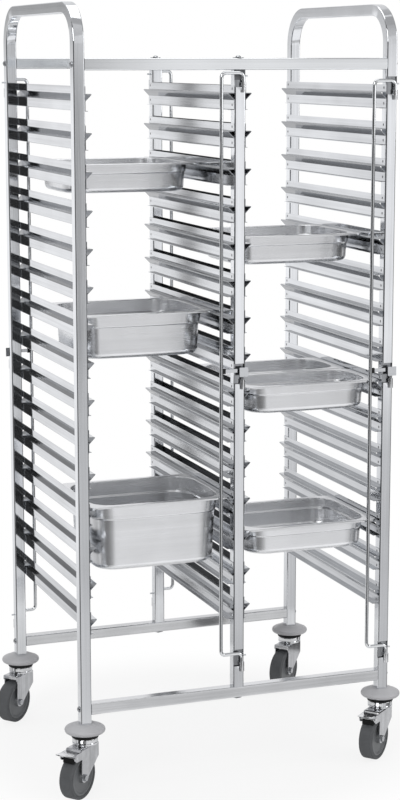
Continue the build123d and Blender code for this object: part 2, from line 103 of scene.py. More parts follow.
# Brightness of the room by bearing in degrees, 0 towards the viewer's side and 90 to the right,
# in rings that start at these heights of the ray's direction
rings = (
    (None, ((-180, 0.80), (-120, 0.60), (-75, 0.25), (-35, 0.30), (0, 0.95), (50, 0.95),
            (80, 0.40), (140, 0.70), (180, 0.80))),
    (-0.36, ((-180, 0.80), (-165, 0.72), (-160, 0.55), (-150, 0.58), (-120, 0.50), (-95, 0.30),
             (-75, 0.10), (-15, 0.10), (6, 0.30), (12, 0.66), (17.6, 0.64), (18.8, 0.54),
             (30, 0.54), (38, 0.20), (100, 0.10), (140, 0.60), (180, 0.80))),
    (-0.27, ((-180, 0.70), (-168, 0.78), (-163, 0.93), (-161, 0.88), (-157, 0.78), (-152, 0.80),
             (-135, 0.70), (-105, 0.45), (-82, 0.15), (-70, 0.04), (-12, 0.03), (6, 0.20),
             (11, 0.80), (15, 0.80), (15.5, 0.55), (17.5, 0.50), (18.6, 0.58), (21, 0.84),
             (22.4, 0.75), (23.2, 0.55), (29, 0.60), (35, 0.20), (60, 0.05), (105, 0.05),
             (130, 0.45), (150, 0.95), (180, 0.80))),
    (-0.17, ((-180, 0.90), (-168, 0.90), (-163, 0.97), (-160.9, 0.97), (-157, 1.0), (-153, 0.85),
             (-135, 0.75), (-105, 0.50), (-82, 0.18), (-70, 0.04), (-12, 0.03), (6, 0.25),
             (11, 0.74), (15, 0.74), (15.5, 0.30), (17.5, 0.34), (18.4, 0.90), (22.3, 0.97),
             (23.3, 0.75), (26, 0.95), (29, 0.95), (35, 0.20), (60, 0.05), (105, 0.05),
             (130, 0.45), (150, 0.95), (180, 0.95))),
    (0.0, ((-180, 0.85), (-172, 0.55), (-165, 0.36), (-161, 0.38), (-157, 0.55), (-150, 0.55),
           (-120, 0.40), (-95, 0.15), (-75, 0.03), (-12, 0.03), (10, 0.12), (13, 0.50),
           (20, 0.80), (30, 0.65), (38, 0.15), (110, 0.08), (135, 0.55), (155, 0.82),
           (180, 0.85))),
    (0.36, ((-180, 0.80), (-130, 0.50), (-95, 0.20), (-80, 0.05), (-20, 0.05), (10, 0.40),
            (25, 0.60), (45, 0.40), (60, 0.15), (110, 0.20), (140, 0.70), (180, 0.80))),
    (0.78, ((-180, 0.60), (-90, 0.40), (0, 0.40), (90, 0.40), (180, 0.60))))
ring_blend = 0.025
faint_blue = 1.01
mirrored = None
for height, rows in rings:
    ring = add(room, "ShaderNodeValToRGB", Fac=turned)
    stops = ring.color_ramp.elements
    for degrees, level in rows:
        at = degrees / 360 + 0.5
        stop = stops[0] if at == 0 else stops[-1] if at == 1 else stops.new(at)
        stop.position = at
        stop.color = (level, level, level * faint_blue, 1)
    if height is None:
        mirrored = ring.outputs["Color"]
    else:
        above = add(room, "ShaderNodeMapRange",
                    {"From Min": height - ring_blend, "From Max": height + ring_blend},
                    Value=axes.outputs["Z"])
        mirrored = add(room, "ShaderNodeMix", {"data_type": "RGBA"}, _0=above, _6=mirrored,
                       _7=ring).outputs[2]
# A thin dark stand behind the trolley, too narrow for the ramps
stand_bearing = math.radians(-160.05)
stand_half = math.radians(0.15)
stand_edge = math.radians(0.30)
stand_level = 0.1
off_stand = add(room, "ShaderNodeMath", {"operation": "SUBTRACT", 1: stand_bearing}, _0=bearing)
off_stand = add(room, "ShaderNodeMath", {"operation": "ABSOLUTE"}, _0=off_stand)
stand = add(room, "ShaderNodeMapRange",
            {"From Min": stand_half, "From Max": stand_edge, "To Min": stand_level},
            Value=off_stand)
mirrored = add(room, "ShaderNodeMix", {"data_type": "RGBA", 6: (0, 0, 0, 1)}, _0=stand,
               _7=mirrored).outputs[2]
# Upright soft boxes, each square to one side of the trolley, about 4 degrees to each side of
# its middle and soft for as much again. Twice the bearing's sine is 0 at all four of them.
box_half = 0.14
box_edge = 0.28
box_white = (0.80, 0.80, 0.81, 1)
twice = add(room, "ShaderNodeMath", {"operation": "MULTIPLY", 1: 2.0}, _0=bearing)
off_square = add(room, "ShaderNodeMath", {"operation": "SINE"}, _0=twice)
off_square = add(room, "ShaderNodeMath", {"operation": "ABSOLUTE"}, _0=off_square)
off_box = add(room, "ShaderNodeMapRange", {"From Min": box_half, "From Max": box_edge},
              Value=off_square)
mirrored = add(room, "ShaderNodeMix", {"data_type": "RGBA", 6: box_white}, _0=off_box,
               _7=mirrored).outputs[2]
# Matt surfaces get a plain level from all round, and the camera sees white
plain_level = (0.62, 0.62, 0.62, 1)
rays = add(room, "ShaderNodeLightPath").outputs
seen = add(room, "ShaderNodeMix", {"data_type": "RGBA", 6: plain_level},
           _0=rays["Is Glossy Ray"], _7=mirrored)
clear = add(room, "ShaderNodeMath", {"operation": "MAXIMUM"}, _0=rays["Is Camera Ray"],
            _1=rays["Is Transmission Ray"])
white = add(room, "ShaderNodeMix", {"data_type": "RGBA", 7: (1, 1, 1, 1)}, _0=clear,
            _6=seen.outputs[2])
sky = add(room, "ShaderNodeBackground", Color=white.outputs[2])
add(room, "ShaderNodeOutputWorld", Surface=sky)


def soft_lamp(name, place, target, size, watts):
    data = bpy.data.lights.new(name, "AREA")
    data.shape = "RECTANGLE"
    data.size, data.size_y = size
    data.energy = watts
    lamp = bpy.data.objects.new(name, data)
    bpy.context.scene.collection.objects.link(lamp)
    lamp.location = place
    lamp.rotation_euler = (Vector(target) - Vector(place)).to_track_quat("-Z", "Y").to_euler()


soft_lamp("key_softbox", (-3.2, -3.4, 3.4), (0, 0, 0.9), (2.2, 2.6), 70)
soft_lamp("fill_softbox", (3.6, -2.6, 2.4), (0, 0, 0.9), (2.0, 2.4), 35)
soft_lamp("top_softbox", (0, 0.4, 4.6), (0, 0, 0.5), (3.0, 3.0), 40)

floor_radius = 0.74
floor_mesh = bpy.data.meshes.new("studio_floor")
disc = bmesh.new()
bmesh.ops.create_circle(disc, cap_ends=True, segments=96, radius=floor_radius)
disc.to_mesh(floor_mesh)
disc.free()
floor = bpy.data.objects.new("studio_floor", floor_mesh)
bpy.context.scene.collection.objects.link(floor)
# White paper that keeps the soft shadow under the trolley and is lost in the white behind it
fade_start = 0.42
fade_end = 0.70
white_at_middle = 0.84
white_in_steel = 0.3
paper = bpy.data.materials.new("matt_white_paper")
paper.use_nodes = True
paper_tree = paper.node_tree
paper_shader = paper_tree.nodes["Principled BSDF"]
paper_shader.inputs["Base Color"].default_value = (0.75, 0.75, 0.75, 1)
paper_shader.inputs["Roughness"].default_value = 0.9
paper_shader.inputs["Specular IOR Level"].default_value = 0.0
rays = add(paper_tree, "ShaderNodeLightPath").outputs
in_steel = add(paper_tree, "ShaderNodeMath", {"operation": "MULTIPLY", 1: white_in_steel},
               _0=rays["Is Glossy Ray"])
straight = add(paper_tree, "ShaderNodeMath", {"operation": "MAXIMUM"}, _0=rays["Is Camera Ray"],
               _1=in_steel)
straight = add(paper_tree, "ShaderNodeMath", {"operation": "MAXIMUM"}, _0=straight,
               _1=rays["Is Transmission Ray"])
paper_place = add(paper_tree, "ShaderNodeTexCoord").outputs["Object"]
far_off = add(paper_tree, "ShaderNodeVectorMath", {"operation": "LENGTH"}, _0=paper_place)
fade = add(paper_tree, "ShaderNodeMapRange",
           {"interpolation_type": "SMOOTHSTEP", "From Min": fade_start, "From Max": fade_end,
            "To Min": white_at_middle}, Value=far_off.outputs["Value"])
share = add(paper_tree, "ShaderNodeMath", {"operation": "MULTIPLY"}, _0=straight, _1=fade)
lit_white = add(paper_tree, "ShaderNodeEmission", {"Color": (1, 1, 1, 1), "Strength": 1.0})
paper_mix = add(paper_tree, "ShaderNodeMixShader", _0=share, _1=paper_shader, _2=lit_white)
paper_tree.links.new(paper_mix.outputs[0], paper_tree.nodes["Material Output"].inputs["Surface"])
floor_mesh.materials.append(paper)


# End frames and centre posts: 25 mm square stainless tube with 1.5 mm walls, the end frames
# bent from one length each. All of it is polished along its length after the holes are cut.
def stainless(name, colour, roughness, line_mm, along, bump=0.05, cloud_mm=120.0, tone=0.06,
              wear=0.3, crown=None):
    # Stainless steel with polishing lines line_mm apart, drawn a few times coarser than real
    # ones so that they show. Wider streaks and slow clouds cloud_mm across change its tone.
    # Its roughness strays by the share wear along the lines. Between the two heights of a
    # crown the lines swing round to run along Y.
    drawn_out = 0.015
    streak_lines = 4
    cloud_share = 0.35
    material = bpy.data.materials.new(name)
    material.use_nodes = True
    tree = material.node_tree
    shader = tree.nodes["Principled BSDF"]
    shader.inputs["Metallic"].default_value = 1.0
    place = add(tree, "ShaderNodeTexCoord").outputs["Object"]
    stretch = [drawn_out if axis in along else 1.0 for axis in "XYZ"]
    drawn = add(tree, "ShaderNodeMapping", {"Scale": stretch}, Vector=place).outputs[0]
    if crown:
        over = add(tree, "ShaderNodeMapping", {"Scale": (1.0, drawn_out, 1.0)}, Vector=place)
        height = add(tree, "ShaderNodeSeparateXYZ", Vector=place)
        swing = add(tree, "ShaderNodeMapRange", {"From Min": crown[0], "From Max": crown[1]},
                    Value=height.outputs["Z"])
        drawn = add(tree, "ShaderNodeMix", {"data_type": "VECTOR"}, _0=swing, _4=drawn,
                    _5=over).outputs[1]
    fine = 1000 / line_mm / 2
    grain = add(tree, "ShaderNodeTexNoise", {"Scale": fine, "Detail": 3.0, "Roughness": 0.6},
                Vector=drawn)
    streaks = add(tree, "ShaderNodeTexNoise",
                  {"Scale": fine / streak_lines, "Detail": 4.0, "Roughness": 0.65}, Vector=drawn)
    clouds = add(tree, "ShaderNodeTexNoise", {"Scale": 1000 / cloud_mm, "Detail": 2.0},
                 Vector=place)
    uneven = add(tree, "ShaderNodeMix", {0: cloud_share}, _2=streaks, _3=clouds)
    spread = add(tree, "ShaderNodeMapRange", {"From Min": 0.34, "From Max": 0.66}, Value=uneven)
    base = linear(colour)[:3]
    darker = [c * (1 - tone) for c in base] + [1]
    lighter = [min(1, c * (1 + tone)) for c in base] + [1]
    tones = add(tree, "ShaderNodeMix", {"data_type": "RGBA", 6: darker, 7: lighter}, _0=spread)
    tree.links.new(tones.outputs[2], shader.inputs["Base Color"])
    worn = add(tree, "ShaderNodeMapRange",
               {"To Min": roughness * (1 - wear), "To Max": roughness * (1 + wear)}, Value=grain)
    tree.links.new(worn.outputs[0], shader.inputs["Roughness"])
    lines = add(tree, "ShaderNodeBump", {"Strength": bump, "Distance": 0.0003}, Height=grain)
    tree.links.new(lines.outputs[0], shader.inputs["Normal"])
    return material


bodies = frame["record"]["behaviour"]["bodies"]
node_body = {node: body for body, nodes in bodies.items() for node in nodes}


def stand_in(name, mesh, material, node):
    # Puts a finished mesh in the scene in place of a solid, on that solid's body and finish.
    # A mesh that has its own materials already comes with none.
    if material:
        mesh.materials.clear()
        mesh.materials.append(material)
    piece = bpy.data.objects.new(name, mesh)
    bpy.context.scene.collection.objects.link(piece)
    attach(piece, node_body[node])
    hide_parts(node)


def plain_mesh(holder):
    # The mesh that an object's modifiers make of it. The object itself goes.
    ready = holder.evaluated_get(bpy.context.evaluated_depsgraph_get())
    mesh = bpy.data.meshes.new_from_object(ready)
    bpy.data.objects.remove(holder)
    return mesh


def finish_edges(mesh, ease_mm=0.0, sharp_degrees=32):
    # Eases sharp edges, and shades curved walls smooth without bending the flats beside them
    holder = bpy.data.objects.new("edge_holder", mesh)
    bpy.context.scene.collection.objects.link(holder)
    mesh.shade_smooth()
    mesh.set_sharp_from_angle(angle=math.radians(sharp_degrees))
    if ease_mm:
        ease = holder.modifiers.new("eased_edges", "BEVEL")
        ease.width = ease_mm / 1000
        ease.segments = 2
        ease.limit_method = "ANGLE"
        ease.angle_limit = math.radians(sharp_degrees)
    weigh = holder.modifiers.new("flat_faces_first", "WEIGHTED_NORMAL")
    weigh.keep_sharp = not ease_mm
    return plain_mesh(holder)


merge_within = 1e-6


def dress(node, material, ease_mm=0.0):
    # A finished copy of a solid: its triangles joined and its edges finished
    mesh = bpy.data.meshes.new(node + "_finished")
    form = bmesh.new()
    form.from_mesh(frame["nodes"][node].data)
    bmesh.ops.remove_doubles(form, verts=form.verts, dist=merge_within)
    if ease_mm:
        bmesh.ops.dissolve_limit(form, angle_limit=math.radians(0.5), verts=form.verts,
                                 edges=form.edges)
    form.to_mesh(mesh)
    form.free()
    stand_in(node + "_finished", finish_edges(mesh, ease_mm), material, node)


# Polished tube: lines along it, with clear grey streaks that turn over the bends of the
# handle arches. The straight posts have the same polish and calmer streaks.
bent_tube_steel = stainless("polished_bent_stainless_tube", "#ebedf0", 0.08, 1.2, "Z", tone=0.10,
                            crown=(1.64, 1.70))
for node in ("left_end_frame", "right_end_frame"):
    dress(node, bent_tube_steel)
upright_steel = stainless("polished_stainless_upright", "#eceef1", 0.09, 1.2, "Z", tone=0.08)
for node in ("centre_front_post", "centre_rear_post"):
    dress(node, upright_steel)

# Rails: the same tube cut square, bolted between the end frames above and below the posts.
# The upper ones shine, and the lower ones have a duller polish with grey streaks along them,
# most of all the one at the back, which is also drawn darker than the rest.
rail_steel = stainless("polished_stainless_rail", "#ebedef", 0.10, 1.2, "X", tone=0.07)
dull_rail_steel = stainless("streaked_stainless_rail", "#e9eaec", 0.13, 1.2, "X", tone=0.13)
darkest_rail_steel = stainless("darkest_streaked_stainless_rail", "#dcdddf", 0.13, 1.2, "X", tone=0.16)
for node, steel in (("top_front_rail", rail_steel), ("top_rear_rail", rail_steel),
                    ("bottom_front_rail", dull_rail_steel),
                    ("bottom_rear_rail", darkest_rail_steel)):
    dress(node, steel)


# Plugs: grey nylon, moulded, driven into the tube ends to take the bolts' threads. Only the
# ends of the rails' plugs show, matt and slightly pebbled.
def moulded(name, dark, light, grain_mm, roughness, ior=1.5, bump=0.2, shine=0.5):
    # Moulded plastic or rubber: a fine pebbled skin grain_mm across that breaks up its gloss,
    # and soft patches between two close tones
    patch_mm = 35.0
    material = bpy.data.materials.new(name)
    material.use_nodes = True
    tree = material.node_tree
    shader = tree.nodes["Principled BSDF"]
    shader.inputs["IOR"].default_value = ior
    shader.inputs["Specular IOR Level"].default_value = shine
    place = add(tree, "ShaderNodeTexCoord").outputs["Object"]
    grain = add(tree, "ShaderNodeTexNoise", {"Scale": 1000 / grain_mm / 2, "Detail": 4.0},
                Vector=place)
    patches = add(tree, "ShaderNodeTexNoise",
                  {"Scale": 1000 / patch_mm, "Detail": 3.0, "Roughness": 0.6}, Vector=place)
    tone = add(tree, "ShaderNodeMix", {"data_type": "RGBA", 6: linear(dark), 7: linear(light)},
               _0=patches)
    tree.links.new(tone.outputs[2], shader.inputs["Base Color"])
    gloss = add(tree, "ShaderNodeMapRange",
                {"To Min": roughness * 0.85, "To Max": min(1.0, roughness * 1.2)}, Value=grain)
    tree.links.new(gloss.outputs[0], shader.inputs["Roughness"])
    skin = add(tree, "ShaderNodeBump", {"Strength": bump, "Distance": 0.0002}, Height=grain)
    tree.links.new(skin.outputs[0], shader.inputs["Normal"])
    return material


plug_nylon = moulded("grey_moulded_nylon_plug", "#606164", "#707174", 1.2, 0.45, ior=1.53)
dress("tube_end_plugs", plug_nylon)

# Fasteners: domed bolts through the legs and rails, washers under the ones at the posts, the
# gates' stop studs and the casters' stems. They are turned and bright plated, so they glint
# softly, and the studs are polished like the tube around them.
bolt_steel = stainless("bright_turned_steel", "#bfc1c4", 0.22, 1.0, "", cloud_mm=14.0)
for node in ("side_bolts", "post_bolts", "caster_stems"):
    dress(node, bolt_steel)
stud_steel = stainless("polished_stud_steel", "#eceef0", 0.15, 1.0, "", cloud_mm=14.0)
dress("gate_stop_studs", stud_steel)

# Runners: fifteen to a ladder, folded from 1.2 mm sheet into a plate, a shelf that the pans
# slide on, a sloping web under it and a lower lip. Two spot welds hold each end to a post.
sheet = 0.0012
fold_radius = 0.0011
fold_cells = 3
shelf_reach = 0.016
plate_above = 0.0155
plate_below = 0.0365
lip_reach = 0.010
lip_trim = 0.013
runner_half = 0.2815
levels = 15
top_shelf = 1.526
pitch = 0.0805
leg_y = 0.2705
face_outer = 0.345
face_inner = 0.0125
weld_radius = 0.0031
weld_height = 0.0002
weld_heights = (0.0085, -0.0255)


def rounded_line(points, radius, steps):
    # An open line with an arc of that radius at every inner corner
    line = [Vector(points[0])]
    for before, corner, after in zip(points, points[1:], points[2:]):
        corner = Vector(corner)
        back = (Vector(before) - corner).normalized()
        on = (Vector(after) - corner).normalized()
        half = back.angle(on) / 2
        cut = radius / math.tan(half)
        centre = corner + (back + on).normalized() * radius / math.sin(half)
        start = corner + back * cut - centre
        end = corner + on * cut - centre
        for step in range(steps + 1):
            line.append(centre + start.slerp(end, step / steps).normalized() * radius)
    line.append(Vector(points[-1]))
    return line


def offset_line(line, distance):
    # The same line moved sideways, to the left of its direction for a positive distance
    moved = []
    for place, point in enumerate(line):
        before = line[max(place - 1, 0)]
        after = line[min(place + 1, len(line) - 1)]
        along = (after - before).normalized()
        moved.append(point + Vector((-along.y, along.x)) * distance)
    return moved


def folded_runner(face_x, side, hidden_back):
    # Cells of sheet between stations along Y. The lower lip and its fold have none at the
    # trimmed ends, which leaves room for the gates' handles. A back that faces the other
    # ladder, inside the narrow gap, is painted dark as painted shade.
    polished, cut_end_and_shaded_web, painted_gap_shade = 0, 1, 2
    half = sheet / 2
    fold = shelf_reach - half - half * math.sqrt(2)
    middle = [(half, plate_above), (half, -half), (half + fold, -half), (half, -half - fold),
              (half, half - plate_below), (lip_reach, half - plate_below)]
    line = rounded_line(middle, fold_radius, fold_cells)
    cells = range(len(line) - 1)
    last = cells[-1]
    lip_cells = last - fold_cells
    web_cells = [i for i in cells if line[i + 1].x < line[i].x - 1e-6
                 and line[i + 1].y < line[i].y - 1e-6]
    plate_cells = [i for i in cells if max(line[i].x, line[i + 1].x) < sheet]
    stations = (-runner_half, lip_trim - runner_half, runner_half - lip_trim, runner_half)
    form = bmesh.new()
    grid = [[[form.verts.new((face_x + side * p.x, y, p.y)) for p in skin]
             for skin in (offset_line(line, half), offset_line(line, -half))] for y in stations]
    for bay, ((front_a, front_b), (rear_a, rear_b)) in enumerate(zip(grid, grid[1:])):
        for i in cells:
            j = i + 1
            trimmed = i >= lip_cells
            if trimmed and bay != 1:
                continue
            front = form.faces.new((front_a[i], front_a[j], rear_a[j], rear_a[i]))
            back = form.faces.new((front_b[i], rear_b[i], rear_b[j], front_b[j]))
            # The sloping web takes the darker grey as painted shade under the shelf
            front.material_index = back.material_index = cut_end_and_shaded_web if i in web_cells else polished
            if hidden_back and i in plate_cells:
                # Backs in the narrow gap are painted dark as painted shade
                back.material_index = painted_gap_shade
            if bay == 0 or trimmed:
                cut = form.faces.new((front_a[i], front_b[i], front_b[j], front_a[j]))
                cut.material_index = cut_end_and_shaded_web
            if bay == 2 or trimmed:
                cut = form.faces.new((rear_a[i], rear_a[j], rear_b[j], rear_b[i]))
                cut.material_index = cut_end_and_shaded_web
            if i == 0:
                form.faces.new((front_a[i], rear_a[i], rear_b[i], front_b[i]))
            if i == last or (i == lip_cells - 1 and bay != 1):
                form.faces.new((front_a[j], front_b[j], rear_b[j], rear_a[j]))
    bmesh.ops.delete(form, geom=[v for v in form.verts if not v.link_faces], context="VERTS")
    bmesh.ops.recalc_face_normals(form, faces=form.faces)
    mesh = bpy.data.meshes.new("folded_runner")
    form.to_mesh(mesh)
    form.free()
    for steel in (runner_steel, cut_end_and_shaded_web_steel, gap_shade_back_steel):
        mesh.materials.append(steel)
    return finish_edges(mesh, sharp_degrees=50)


def group(name, *inputs):
    # An empty Geometry Nodes tree with a named input for each size
    tree = bpy.data.node_groups.new(name, "GeometryNodeTree")
    for label, kind in (("Geometry", "NodeSocketGeometry"), *inputs):
        tree.interface.new_socket(label, in_out="INPUT", socket_type=kind)
    tree.interface.new_socket("Geometry", in_out="OUTPUT", socket_type="NodeSocketGeometry")
    return tree, tree.nodes.new("NodeGroupInput").outputs


def grown(name, mesh, tree, **sizes):
    # Runs a tree on a mesh with its sizes, and returns the result as a plain mesh
    holder = bpy.data.objects.new(name, mesh)
    bpy.context.scene.collection.objects.link(holder)
    modifier = holder.modifiers.new(name, "NODES")
    modifier.node_group = tree
    sockets = {item.name: item.identifier for item in tree.interface.items_tree
               if item.in_out == "INPUT"}
    for label, value in sizes.items():
        modifier[sockets[label.replace("_", " ")]] = value
    return plain_mesh(holder)


# Sheet polished along its length on the faces that show, duller grey on the sheared ends, the
# same grey on the sloping web as painted shade under the shelf, and dark painted shade on the backs
# hidden in the narrow gap. Spot welds are dull rings in the shine.
runner_steel = stainless("brushed_stainless_sheet", "#dcdee1", 0.05, 1.0, "Y", tone=0.12)
# Darker grey for the sheared ends, and painted shade on the sloping web
cut_end_and_shaded_web_steel = stainless("sheared_ends_and_web_painted_shade", "#a5a7aa", 0.10, 1.0, "Y", tone=0.16)
# Dark painted shade for the plate backs hidden in the narrow gap
gap_shade_back_steel = stainless("painted_gap_shade_sheet_back", "#56585b", 0.30, 1.0, "Y", tone=0.20)
weld_steel = stainless("spot_weld_mark", "#8d8e90", 0.35, 1.0, "", cloud_mm=4.0)
ladder_tree, sizes = group(
    "runner_ladder", ("Levels", "NodeSocketInt"), ("Top", "NodeSocketVector"),
    ("Pitch", "NodeSocketVector"), ("Weld start", "NodeSocketVector"),
    ("Weld across", "NodeSocketVector"), ("Weld down", "NodeSocketVector"),
    ("Weld size", "NodeSocketVector"))
across = add(ladder_tree, "GeometryNodeMeshLine", {"Count": 2},
             Start_Location=sizes["Weld start"], Offset=sizes["Weld across"])
down = add(ladder_tree, "GeometryNodeMeshLine", {"Count": 2}, Offset=sizes["Weld down"])
dot = add(ladder_tree, "GeometryNodeMeshUVSphere", {"Segments": 12, "Rings": 6, "Radius": 1.0})
dots = add(ladder_tree, "GeometryNodeInstanceOnPoints", Points=down, Instance=dot,
           Scale=sizes["Weld size"])
all_dots = add(ladder_tree, "GeometryNodeInstanceOnPoints", Points=across, Instance=dots)
real_dots = add(ladder_tree, "GeometryNodeRealizeInstances", Geometry=all_dots)
marked = add(ladder_tree, "GeometryNodeSetMaterial", {"Material": weld_steel},
             Geometry=real_dots)
joined = add(ladder_tree, "GeometryNodeJoinGeometry", Geometry=marked)
ladder_tree.links.new(sizes["Geometry"], joined.inputs[0])
rungs = add(ladder_tree, "GeometryNodeMeshLine", Count=sizes["Levels"],
            Start_Location=sizes["Top"], Offset=sizes["Pitch"])
ladder = add(ladder_tree, "GeometryNodeInstanceOnPoints", Points=rungs, Instance=joined)
real = add(ladder_tree, "GeometryNodeRealizeInstances", Geometry=ladder)
add(ladder_tree, "NodeGroupOutput", Geometry=real)
for node, face_x, side, hidden_back in (("left_outer_runners", -face_outer, 1, False),
                                        ("left_inner_runners", -face_inner, -1, True),
                                        ("right_inner_runners", face_inner, 1, True),
                                        ("right_outer_runners", face_outer, -1, False)):
    runner = folded_runner(face_x, side, hidden_back)
    mesh = grown(node, runner, ladder_tree, Levels=levels, Top=(0, 0, top_shelf),
                 Pitch=(0, 0, -pitch),
                 Weld_start=(face_x + side * sheet, -leg_y, weld_heights[0]),
                 Weld_across=(0, 2 * leg_y, 0), Weld_down=(0, 0, weld_heights[1] - weld_heights[0]),
                 Weld_size=(weld_height, weld_radius, weld_radius))
    stand_in(node + "_folded", mesh, None, node)

# Gates: an 8 mm round rod, bent at four corners, whose hooked ends drop into sockets in a
# post. A flat handle with a square thumb tab turns with it, and a black cap closes the bar.
rod_radius = 0.004
rod_bend = 0.010
rod_reach = 0.043
hook_offset = 0.007
hook_length = 0.039
hinge_y = -0.2835
# Each gate's post, the heights of its rod's two bars, and which way round it stands
gates = {"front_centre_gate": (0, 1.568, 0.285, 1), "front_right_gate": (0.3575, 1.550, 0.266, 1),
         "rear_centre_gate": (0, 1.568, 0.285, -1), "rear_left_gate": (0.3575, 1.550, 0.266, -1)}
# Bright round rod, whose dark and light lines along it come from the room around it
rod_steel = stainless("polished_round_rod", "#eff1f3", 0.09, 1.0, "Z", bump=0.02, tone=0.04)
rod_tree, sizes = group("bent_rod", ("Bend", "NodeSocketFloat"), ("Radius", "NodeSocketFloat"))
route = add(rod_tree, "GeometryNodeMeshToCurve", Mesh=sizes["Geometry"])
bent = add(rod_tree, "GeometryNodeFilletCurve", {"mode": "POLY", "Count": 8}, Curve=route,
           Radius=sizes["Bend"])
circle = add(rod_tree, "GeometryNodeCurvePrimitiveCircle", {"Resolution": 20},
             Radius=sizes["Radius"])
round_rod = add(rod_tree, "GeometryNodeCurveToMesh", {"Fill Caps": True}, Curve=bent,
                Profile_Curve=circle)
polished = add(rod_tree, "GeometryNodeSetMaterial", {"Material": rod_steel}, Geometry=round_rod)
add(rod_tree, "NodeGroupOutput", Geometry=polished)
for gate, (post_x, top, bottom, turn) in gates.items():
    hook_x = post_x + hook_offset
    bar_x = post_x - rod_reach
    points = [(hook_x, bottom - hook_length), (hook_x, bottom), (bar_x, bottom), (bar_x, top),
              (hook_x, top), (hook_x, top - hook_length)]
    line = bpy.data.meshes.new(gate + "_route")
    line.from_pydata([(turn * x, turn * hinge_y, z) for x, z in points],
                     [(i, i + 1) for i in range(len(points) - 1)], [])
    mesh = finish_edges(grown(gate, line, rod_tree, Bend=rod_bend, Radius=rod_radius))
    stand_in(gate + "_rod_bent", mesh, None, gate + "_rod")

# The handle is plainer than the rod, its cap is soft black vinyl with a dull gloss, and the
# sockets keep the uneven, slightly dull look of welded and blasted steel
handle_steel = stainless("polished_stainless_handle", "#d2d4d7", 0.12, 1.0, "X", bump=0.04,
                         tone=0.07)
cap_vinyl = moulded("black_vinyl_cap", "#0f1010", "#1b1c1d", 0.9, 0.42, shine=0.4)
for gate in gates:
    dress(gate + "_handle", handle_steel, ease_mm=0.4)
    dress(gate + "_cap", cap_vinyl, ease_mm=0.8)
socket_steel = stainless("welded_socket_steel", "#eff0f2", 0.2, 1.0, "Z", bump=0.04, tone=0.10)
dress("gate_sockets", socket_steel)

# Backs of the notches: steel pressed in behind each of the rod's and the handle's openings, so
# that the tube is closed there. They keep the dull grey and the drawing lines of the mill.
back_front_y = -0.2784
back_rear_y = -0.2774
half_bore = 0.0109
reach_below = 0.032
reach_above = 0.011
window_height = 0.015
window_above = 0.002
post_plug_end = 1.5535
window_tops = {"front_centre_gate": 0.942, "front_right_gate": 0.924, "rear_centre_gate": 0.942,
               "rear_left_gate": 0.924}
form = bmesh.new()
for gate, (post_x, top, bottom, turn) in gates.items():
    window_top = window_tops[gate]
    for low, high in ((top - reach_below, top + reach_above),
                      (bottom - reach_below, bottom + reach_above),
                      (window_top - window_height - reach_below, window_top + window_above)):
        high = min(high, post_plug_end) if post_x == 0 else high
        size = (2 * half_bore, back_rear_y - back_front_y, high - low)
        middle = (turn * post_x, turn * (back_front_y + back_rear_y) / 2, (low + high) / 2)
        bmesh.ops.create_cube(form, size=1.0, matrix=Matrix.LocRotScale(middle, None, size))
mesh = bpy.data.meshes.new("notch_backs")
form.to_mesh(mesh)
form.free()
mesh.materials.append(stainless("pressed_mill_finish", "#9b9da0", 0.16, 1.2, "Z", tone=0.35))
notch_backs = bpy.data.objects.new("notch_backs", mesh)
bpy.context.scene.collection.objects.link(notch_backs)
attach(notch_backs, "frame")

# Casters: a pale round bumper under each leg, a black seal and a grooved bright swivel head,
# all still, and a pressed fork below that turns. Round parts are turned on a lathe or moulded.
corner_names = {"front_left": (-1, -1), "rear_left": (-1, 1), "front_right": (1, -1),
                "rear_right": (1, 1)}
leg_x = 0.3575
heading = math.radians(220.25)


def lathe(profile, place, steps=64):
    # Turns a closed outline of radius and height about its height, then sets it in place
    form = bmesh.new()
    rounds = []
    for step in range(steps):
        angle = math.tau * step / steps
        rounds.append([form.verts.new((r * math.cos(angle), r * math.sin(angle), h))
                       for r, h in profile])
    for here, following in zip(rounds, rounds[1:] + rounds[:1]):
        for i in range(len(profile)):
            j = (i + 1) % len(profile)
            form.faces.new((here[i], here[j], following[j], following[i]))
    bmesh.ops.recalc_face_normals(form, faces=form.faces)
    form.transform(place)
    mesh = bpy.data.meshes.new("turned_piece")
    form.to_mesh(mesh)
    form.free()
    return mesh


def arc(centre, radius, start, end, steps):
    # Points of an arc between two angles in degrees
    turns = [math.radians(start + (end - start) * step / steps) for step in range(steps + 1)]
    return [(centre[0] + radius * math.cos(t), centre[1] + radius * math.sin(t)) for t in turns]


def four_casters(node, profile, material, sharp_degrees=32):
    # The same turned piece under all four legs, as one mesh like the solid it stands for
    whole = bmesh.new()
    for x, y in corner_names.values():
        whole.from_mesh(lathe(profile, Matrix.Translation((x * leg_x, y * leg_y, 0))))
    mesh = bpy.data.meshes.new(node)
    whole.to_mesh(mesh)
    whole.free()
    stand_in(node + "_turned", finish_edges(mesh, sharp_degrees=sharp_degrees), material, node)


